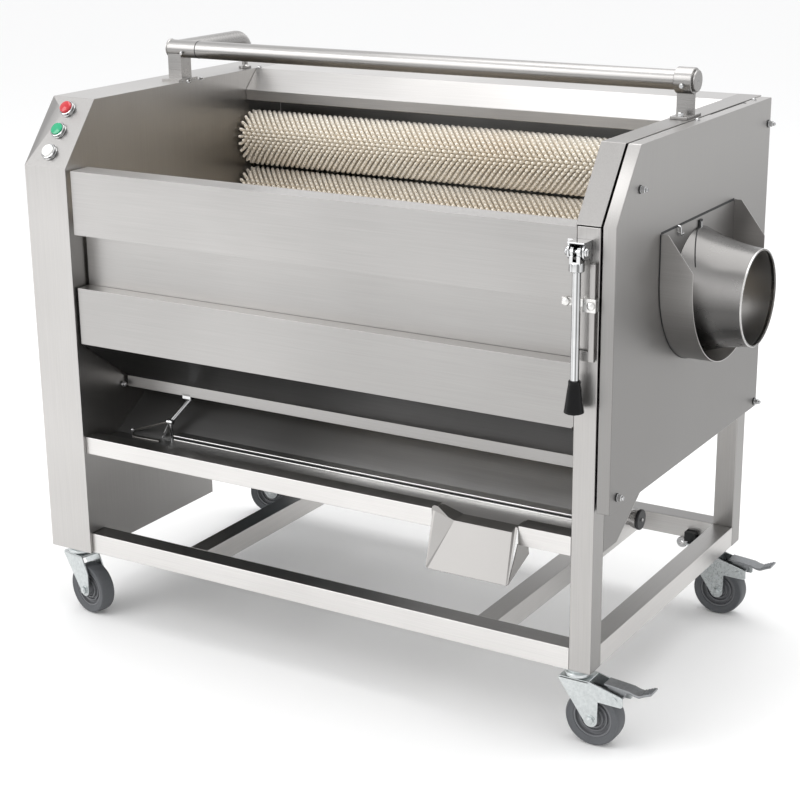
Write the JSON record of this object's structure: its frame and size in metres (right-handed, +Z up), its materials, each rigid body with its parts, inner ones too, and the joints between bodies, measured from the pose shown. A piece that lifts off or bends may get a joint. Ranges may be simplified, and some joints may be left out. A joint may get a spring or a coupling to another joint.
{
  "type": "brush roller potato peeler",
  "caption": "Floor-standing brush-roller potato peeler and washer: steel frame on casters, U-shaped bed of nylon rollers, spray pipe, side outlet, peel tray, lever and push buttons.",
  "frame": {"origin": "middle of the bounding box's bottom face, on the floor", "axes": "+Z up, +X along the rollers to the discharge end, +Y from the lever and button side to the back"},
  "size_m": [1.3073, 0.7405, 1.0987],
  "materials": {
    "frame_tube": "satin, welded tube",
    "sheet_steel": "brushed stainless sheet",
    "dull_steel": "brushed stainless sheet, darker",
    "pipe_steel": "smooth stainless pipe",
    "bright_metal": "polished",
    "grip": "glossy black",
    "red_lens": "glossy red",
    "green_lens": "glossy green",
    "white_lens": "glossy white",
    "nylon_brush": "nylon bristle",
    "machined_steel": "machined steel",
    "motor_paint": "grey-blue paint",
    "zinc_steel": "bright zinc plating",
    "wheel_rubber": "grey rubber tread",
    "pedal_steel": "dark grey"
  },
  "bodies": {
    "machine": {"post_front_right": "frame_tube", "post_rear_right": "frame_tube", "base_rail_front": "frame_tube", "base_rail_rear": "frame_tube", "base_rail_right": "frame_tube", "base_rail_left": "frame_tube", "cross_rail_left": "frame_tube", "cross_rail_right": "frame_tube", "tray_rail_left": "frame_tube", "tray_rail_right": "frame_tube", "cabinet_shell": "sheet_steel", "upper_front_panel": "sheet_steel", "lower_front_panel": "sheet_steel", "rear_wall": "sheet_steel", "right_end_wall": "sheet_steel", "peel_tray": "dull_steel", "drain_spout": "sheet_steel", "side_cover": "dull_steel", "discharge_spout": "sheet_steel", "bearing_plate": "sheet_steel", "spray_pipe": "pipe_steel", "pipe_leg_left": "pipe_steel", "pipe_bracket_right": "pipe_steel", "lever_bracket": "bright_metal", "link_guide": "bright_metal", "stop_bezel": "bright_metal", "start_bezel": "bright_metal", "pilot_lamp": "white_lens", "gearmotor": "motor_paint", "drive_chain": "machined_steel", "caster_plate_front_right": "zinc_steel", "caster_plate_rear_right": "zinc_steel", "caster_plate_front_left": "zinc_steel", "caster_plate_rear_left": "zinc_steel"},
    "stop_button": {"stop_button": "red_lens"},
    "start_button": {"start_button": "green_lens"},
    "lever": {"control_lever": "bright_metal", "lever_knob": "grip"},
    "gate": {"discharge_gate": "sheet_steel", "gate_link": "sheet_steel"},
    "roller_1": {"brush_sleeve_1": "nylon_brush", "roller_shaft_1": "machined_steel"},
    "roller_2": {"brush_sleeve_2": "nylon_brush", "roller_shaft_2": "machined_steel"},
    "roller_3": {"brush_roller_3": "nylon_brush"},
    "roller_4": {"brush_roller_4": "nylon_brush"},
    "roller_5": {"brush_roller_5": "nylon_brush"},
    "roller_6": {"brush_roller_6": "nylon_brush"},
    "roller_7": {"brush_roller_7": "nylon_brush"},
    "motor_sprocket": {"drive_sprocket": "machined_steel"},
    "fork_front_right": {"caster_fork_front_right": "zinc_steel"},
    "wheel_front_right": {"caster_wheel_front_right": "wheel_rubber"},
    "pedal_front_right": {"brake_pedal_front_right": "pedal_steel"},
    "fork_rear_right": {"caster_fork_rear_right": "zinc_steel"},
    "wheel_rear_right": {"caster_wheel_rear_right": "wheel_rubber"},
    "pedal_rear_right": {"brake_pedal_rear_right": "pedal_steel"},
    "fork_front_left": {"caster_fork_front_left": "zinc_steel"},
    "wheel_front_left": {"caster_wheel_front_left": "wheel_rubber"},
    "fork_rear_left": {"caster_fork_rear_left": "zinc_steel"},
    "wheel_rear_left": {"caster_wheel_rear_left": "wheel_rubber"}
  },
  "joints": [
    {"name": "stop_press", "type": "slide", "parent": "machine", "child": "stop_button", "axis": [0, 0.7835, -0.6214], "range_m": [0, 0.004], "stiffness_N_per_m": 400, "springref_m": -0.002},
    {"name": "start_press", "type": "slide", "parent": "machine", "child": "start_button", "axis": [0, 0.7835, -0.6214], "range_m": [0, 0.004], "stiffness_N_per_m": 400, "springref_m": -0.002},
    {"name": "lever_swing", "type": "hinge", "parent": "machine", "child": "lever", "pos_m": [0.48889, -0.34853, 0.862], "axis": [-1, 0, 0], "range_deg": [0, 100]},
    {"name": "gate_lift", "type": "slide", "parent": "machine", "child": "gate", "axis": [0, 0, 1], "range_m": [0, 0.06]},
    {"name": "roller_1_spin", "type": "hinge", "parent": "machine", "child": "roller_1", "pos_m": [-0.05011, 0.25037, 0.87598], "axis": [1, 0, 0], "continuous": true},
    {"name": "roller_2_spin", "type": "hinge", "parent": "machine", "child": "roller_2", "pos_m": [-0.05011, 0.23715, 0.75872], "axis": [1, 0, 0], "continuous": true},
    {"name": "roller_3_spin", "type": "hinge", "parent": "machine", "child": "roller_3", "pos_m": [-0.05011, 0.17064, 0.66125], "axis": [1, 0, 0], "continuous": true},
    {"name": "roller_4_spin", "type": "hinge", "parent": "machine", "child": "roller_4", "pos_m": [-0.05011, 0.06629, 0.60617], "axis": [1, 0, 0], "continuous": true},
    {"name": "roller_5_spin", "type": "hinge", "parent": "machine", "child": "roller_5", "pos_m": [-0.05011, -0.05171, 0.60625], "axis": [1, 0, 0], "continuous": true},
    {"name": "roller_6_spin", "type": "hinge", "parent": "machine", "child": "roller_6", "pos_m": [-0.05011, -0.15598, 0.66149], "axis": [1, 0, 0], "continuous": true},
    {"name": "roller_7_spin", "type": "hinge", "parent": "machine", "child": "roller_7", "pos_m": [-0.05011, -0.22234, 0.75907], "axis": [1, 0, 0], "continuous": true},
    {"name": "motor_spin", "type": "hinge", "parent": "machine", "child": "motor_sprocket", "pos_m": [-0.58011, 0.21547, 0.33], "axis": [1, 0, 0], "continuous": true},
    {"name": "swivel_front_right", "type": "hinge", "parent": "machine", "child": "fork_front_right", "pos_m": [0.47889, -0.28653, 0.125], "axis": [0, 0, 1], "continuous": true},
    {"name": "axle_front_right", "type": "hinge", "parent": "fork_front_right", "child": "wheel_front_right", "pos_m": [0.51089, -0.28653, 0.05], "axis": [0, 1, 0], "continuous": true},
    {"name": "brake_front_right", "type": "hinge", "parent": "fork_front_right", "child": "pedal_front_right", "pos_m": [0.55389, -0.28653, 0.096], "axis": [0, 1, 0], "range_deg": [0, 18]},
    {"name": "swivel_rear_right", "type": "hinge", "parent": "machine", "child": "fork_rear_right", "pos_m": [0.46489, 0.32147, 0.125], "axis": [0, 0, 1], "continuous": true},
    {"name": "axle_rear_right", "type": "hinge", "parent": "fork_rear_right", "child": "wheel_rear_right", "pos_m": [0.49689, 0.32147, 0.05], "axis": [0, 1, 0], "continuous": true},
    {"name": "brake_rear_right", "type": "hinge", "parent": "fork_rear_right", "child": "pedal_rear_right", "pos_m": [0.53989, 0.32147, 0.096], "axis": [0, 1, 0], "range_deg": [0, 18]},
    {"name": "swivel_front_left", "type": "hinge", "parent": "machine", "child": "fork_front_left", "pos_m": [-0.61811, -0.28653, 0.125], "axis": [0, 0, 1], "continuous": true},
    {"name": "axle_front_left", "type": "hinge", "parent": "fork_front_left", "child": "wheel_front_left", "pos_m": [-0.58681, -0.29318, 0.05], "axis": [0.2079, 0.9781, 0], "continuous": true},
    {"name": "swivel_rear_left", "type": "hinge", "parent": "machine", "child": "fork_rear_left", "pos_m": [-0.61811, 0.32147, 0.125], "axis": [0, 0, 1], "continuous": true},
    {"name": "axle_rear_left", "type": "hinge", "parent": "fork_rear_left", "child": "wheel_rear_left", "pos_m": [-0.58911, 0.33499, 0.05], "axis": [-0.4226, 0.9063, 0], "continuous": true}
  ],
  "couplings": [
    {"joint": "gate_lift", "follows": "lever_swing", "m_per_rad": 0.03437},
    {"joint": "roller_1_spin", "follows": "roller_3_spin", "ratio": 1},
    {"joint": "roller_2_spin", "follows": "roller_3_spin", "ratio": 1},
    {"joint": "roller_4_spin", "follows": "roller_3_spin", "ratio": 1},
    {"joint": "roller_5_spin", "follows": "roller_3_spin", "ratio": 1},
    {"joint": "roller_6_spin", "follows": "roller_3_spin", "ratio": 1},
    {"joint": "roller_7_spin", "follows": "roller_3_spin", "ratio": 1},
    {"joint": "motor_spin", "follows": "roller_3_spin", "ratio": 1}
  ]
}
